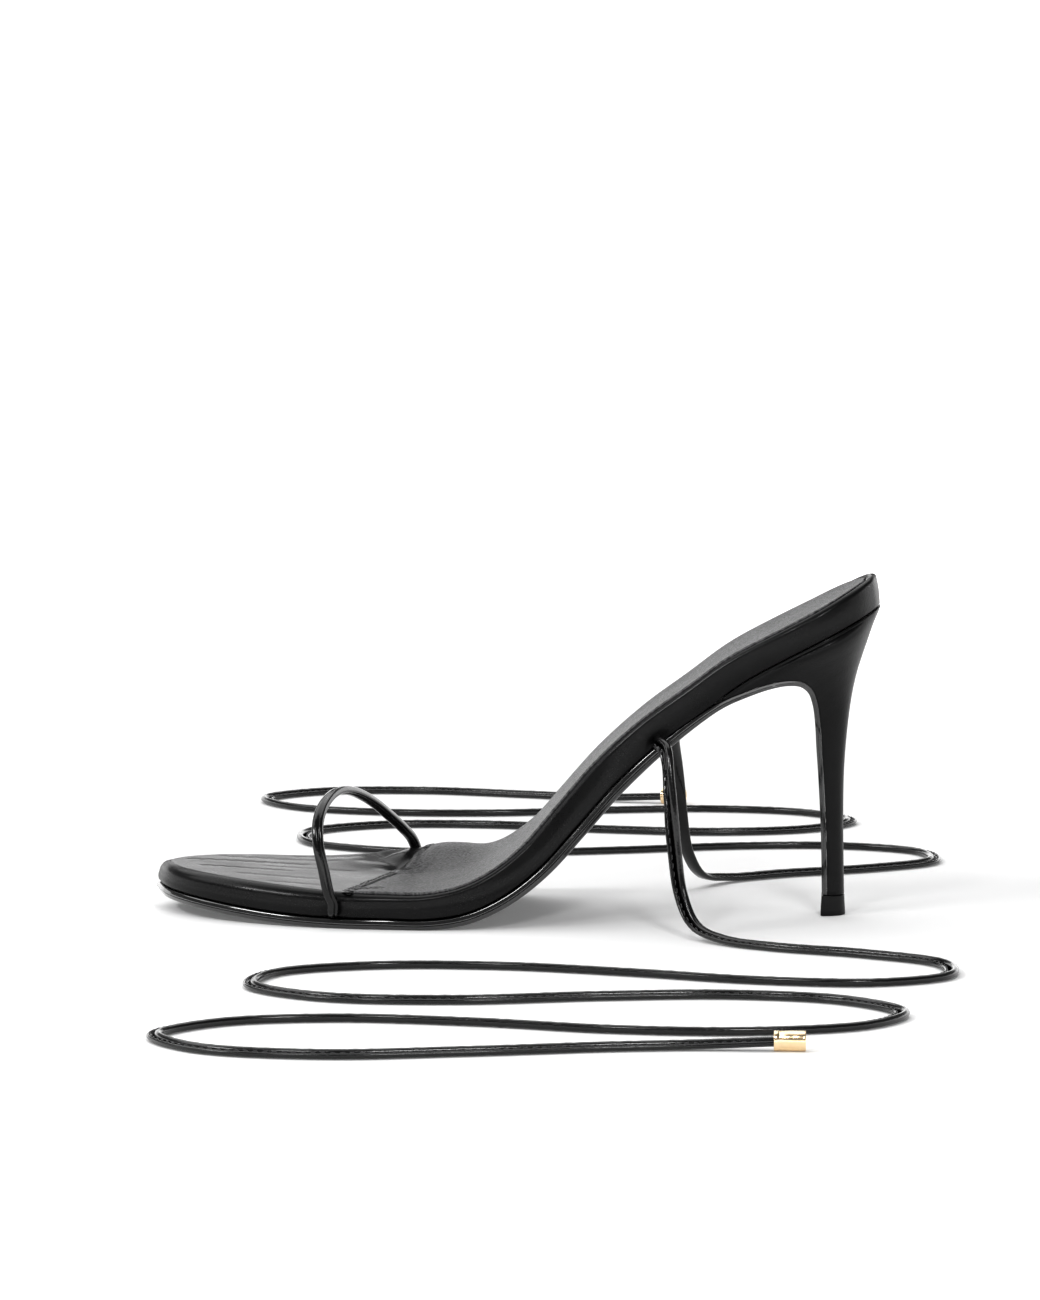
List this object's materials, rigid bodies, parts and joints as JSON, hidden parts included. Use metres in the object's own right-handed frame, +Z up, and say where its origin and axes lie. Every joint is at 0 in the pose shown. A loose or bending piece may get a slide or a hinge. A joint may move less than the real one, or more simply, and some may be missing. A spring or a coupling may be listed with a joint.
{
  "type": "lace up heeled sandal",
  "caption": "Slim-heeled open sandal: padded leather footbed on a thin outsole, one narrow raised toe strap and two long flat leather ties with metal tips, laid loose on the floor.",
  "frame": {"origin": "on the floor, under the middle of the box around the shoe without its ties", "axes": "+Z up, toe towards -X, heel towards +X, outer side of the foot towards -Y, inner side towards +Y"},
  "size_m": [0.2317, 0.5032, 0.0992],
  "materials": {
    "leather": "black smooth leather, soft sheen",
    "sock_leather": "black lining leather, fine rib, matt",
    "sole_edge": "black, glossy inked edge",
    "gold": "pale gold plating, polished"
  },
  "bodies": {
    "root": {"outsole": "sole_edge", "footbed": "leather", "sock": "sock_leather", "heel": "leather", "heel_tip": "sole_edge", "toe_strap": "leather", "outer_tie": "leather", "inner_tie": "leather", "outer_tie_tip": "gold", "inner_tie_tip": "gold"}
  },
  "joints": []
}
